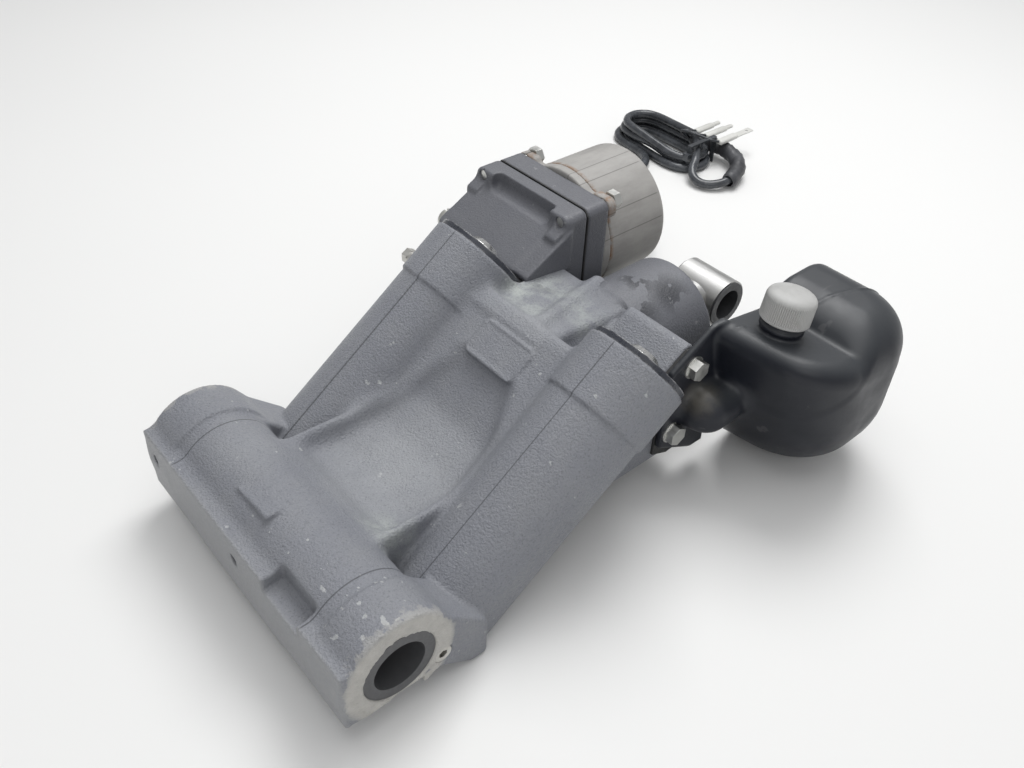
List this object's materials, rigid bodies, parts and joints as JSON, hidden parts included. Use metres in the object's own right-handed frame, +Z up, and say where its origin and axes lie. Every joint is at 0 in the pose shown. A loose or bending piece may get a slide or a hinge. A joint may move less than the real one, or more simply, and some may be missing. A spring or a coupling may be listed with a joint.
{
  "type": "hydraulic power trim and tilt unit",
  "caption": "Hydraulic power trim and tilt unit: cast housing with paired trim rams, a central tilt ram with a rod eye, electric pump motor, oil reservoir and tied motor lead.",
  "frame": {"origin": "centre of the lower pivot bore, on its axis", "axes": "+X along the lower pivot towards the reservoir side, +Y along the tilt cylinder towards the rod eye, +Z up off the surface the unit lies on"},
  "size_m": [0.387, 0.574, 0.1183],
  "materials": {
    "casting": "dark slate satin paint over cast aluminium, fine cast grain, worn and oxidised in places",
    "gland": "dark anodised ring with a turned face",
    "rod": "ground and plated rod, light scratches",
    "bush": "dark grey flanged bush",
    "plug": "zinc plated plug, dulled",
    "seal": "black rubber lip",
    "eye": "bright machined aluminium, fine turning marks",
    "inner_steel": "machined steel, oiled",
    "bolt": "bright zinc plated bolts",
    "valve_head": "pale slotted head",
    "gasket": "thin black gasket",
    "motor_paint": "warm grey-brown matte paint, scuffed",
    "winding": "copper",
    "magnet": "dark sintered material",
    "tank": "satin black moulded plastic with a parting line",
    "cap": "grey moulded cap, fine vertical grip ribs",
    "lead": "black sheathed cable",
    "sleeve": "black wrapped corrugated sleeve",
    "terminal": "pale sheathed crimp terminals"
  },
  "bodies": {
    "unit": {"cylinder_housing": "casting", "pivot_bushes": "bush", "passage_plugs": "plug", "bleed_plug": "plug", "left_trim_gland": "gland", "right_trim_gland": "gland", "trim_wipers": "seal", "tilt_gland": "gland", "tilt_wiper": "seal", "pump_housing": "casting", "pump_body": "inner_steel", "pump_cover": "inner_steel", "pump_screws": "bolt", "pump_housing_bolt": "bolt", "pump_gasket": "gasket", "motor_adapter": "casting", "motor_flange": "motor_paint", "motor_can": "motor_paint", "motor_bolts": "bolt", "shaft_seal": "seal", "front_bearing": "inner_steel", "rear_bearing": "inner_steel", "field_magnets": "magnet", "brush_holder": "cap", "carbon_brushes": "magnet", "brush_springs": "inner_steel", "reservoir_tank": "tank", "tank_gasket": "gasket", "tank_bolts": "bolt", "lead_grommet": "lead", "motor_lead": "lead", "lead_hank": "lead", "lead_sleeve": "sleeve", "lead_terminals": "terminal", "cable_tie": "lead"},
    "tilt_ram": {"tilt_rod": "rod", "tilt_piston": "inner_steel", "tilt_piston_seal": "seal", "piston_nut": "inner_steel", "shock_valve_balls": "inner_steel", "shock_valve_springs": "inner_steel", "rod_eye": "eye", "eye_bushes": "bush"},
    "memory_piston": {"free_piston": "inner_steel", "free_piston_seal": "seal"},
    "left_trim_ram": {"left_trim_rod": "rod", "left_trim_seal": "seal"},
    "right_trim_ram": {"right_trim_rod": "rod", "right_trim_seal": "seal"},
    "armature": {"armature_shaft": "inner_steel", "armature_core": "inner_steel", "armature_windings": "winding", "commutator": "winding", "pump_coupling": "inner_steel", "drive_gear": "inner_steel"},
    "driven_pump_gear": {"driven_gear": "inner_steel"},
    "needle_slide": {"release_needle": "inner_steel"},
    "release_handle": {"release_screw": "valve_head"},
    "cap_lift": {"cap_seal": "seal"},
    "cap_turn": {"filler_cap": "cap"}
  },
  "joints": [
    {"name": "tilt_slide", "type": "slide", "parent": "unit", "child": "tilt_ram", "axis": [0, 1, 0], "range_m": [0, 0.08]},
    {"name": "memory_slide", "type": "slide", "parent": "unit", "child": "memory_piston", "axis": [0, 1, 0], "range_m": [0, 0.08]},
    {"name": "left_trim_slide", "type": "slide", "parent": "unit", "child": "left_trim_ram", "axis": [0, 0.8127, 0.5827], "range_m": [0, 0.068]},
    {"name": "right_trim_slide", "type": "slide", "parent": "unit", "child": "right_trim_ram", "axis": [0, 0.8127, 0.5827], "range_m": [0, 0.068]},
    {"name": "armature_spin", "type": "hinge", "parent": "unit", "child": "armature", "pos_m": [-0.0755, 0.25, 0.041], "axis": [0, 1, 0], "continuous": true},
    {"name": "driven_gear_spin", "type": "hinge", "parent": "unit", "child": "driven_pump_gear", "pos_m": [-0.0755, 0.198, 0.0268], "axis": [0, 1, 0], "continuous": true},
    {"name": "release_travel", "type": "slide", "parent": "unit", "child": "needle_slide", "axis": [-1, 0, 0], "range_m": [0, 0.003]},
    {"name": "release_turn", "type": "hinge", "parent": "needle_slide", "child": "release_handle", "pos_m": [-0.112, 0.183, 0.047], "axis": [-1, 0, 0], "range_deg": [0, 1080]},
    {"name": "cap_travel", "type": "slide", "parent": "unit", "child": "cap_lift", "axis": [0, 0.1702, 0.9854], "range_m": [0, 0.014]},
    {"name": "cap_twist", "type": "hinge", "parent": "cap_lift", "child": "cap_turn", "pos_m": [0.0848, 0.24059, 0.0653], "axis": [0, 0.1702, 0.9854], "range_deg": [0, 1440]}
  ],
  "couplings": [
    {"joint": "memory_slide", "follows": "tilt_slide", "ratio": 1},
    {"joint": "right_trim_slide", "follows": "left_trim_slide", "ratio": 1},
    {"joint": "driven_gear_spin", "follows": "armature_spin", "ratio": -1},
    {"joint": "release_turn", "follows": "release_travel", "rad_per_m": 6283.2},
    {"joint": "cap_twist", "follows": "cap_travel", "rad_per_m": 1795.2}
  ]
}
